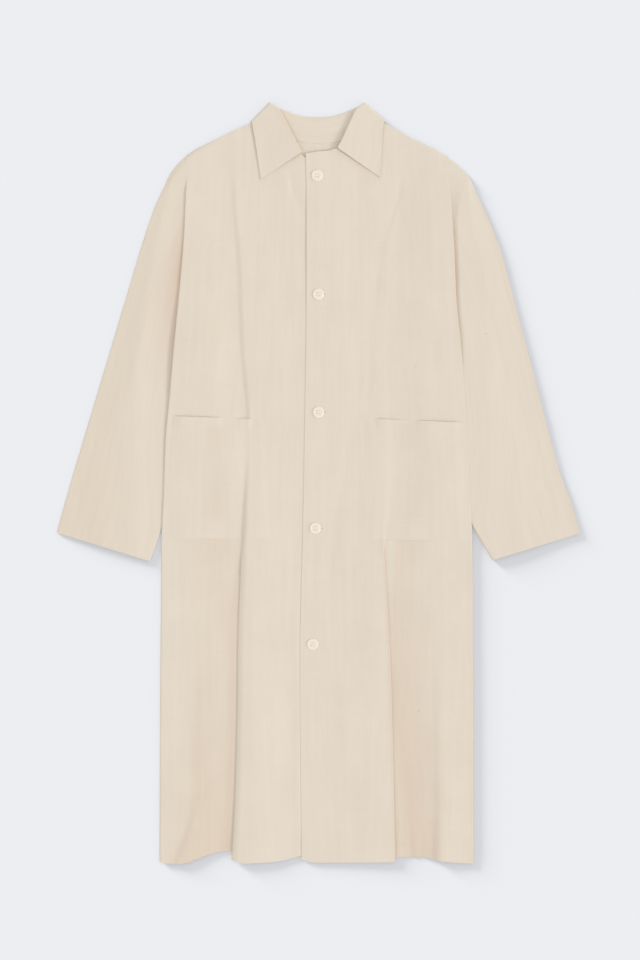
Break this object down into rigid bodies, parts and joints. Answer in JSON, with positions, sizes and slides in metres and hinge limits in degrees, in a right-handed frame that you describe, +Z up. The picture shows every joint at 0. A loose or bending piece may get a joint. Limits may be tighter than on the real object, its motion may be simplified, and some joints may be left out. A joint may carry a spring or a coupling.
{
  "type": "linen duster coat",
  "caption": "Long single-breasted linen coat laid flat with its front up, with a shirt collar, wide dropped sleeves, patch pockets and a buttoned front.",
  "frame": {"origin": "middle of the coat's box, on the surface it lies on", "axes": "+Y from the hem to the collar, +Z up out of the front, +X towards the wearer's left sleeve"},
  "size_m": [0.8122, 1.1814, 0.0122],
  "materials": {
    "linen": "undyed plain-weave linen, matt, with fine slubs",
    "button": "pale shell-like button, softly polished"
  },
  "bodies": {
    "root": {"back": "linen", "right_front": "linen", "left_front": "linen", "right_sleeve": "linen", "left_sleeve": "linen", "collar": "linen", "right_pocket": "linen", "left_pocket": "linen", "button_1": "button", "button_2": "button", "button_3": "button", "button_4": "button", "button_5": "button"}
  },
  "joints": []
}
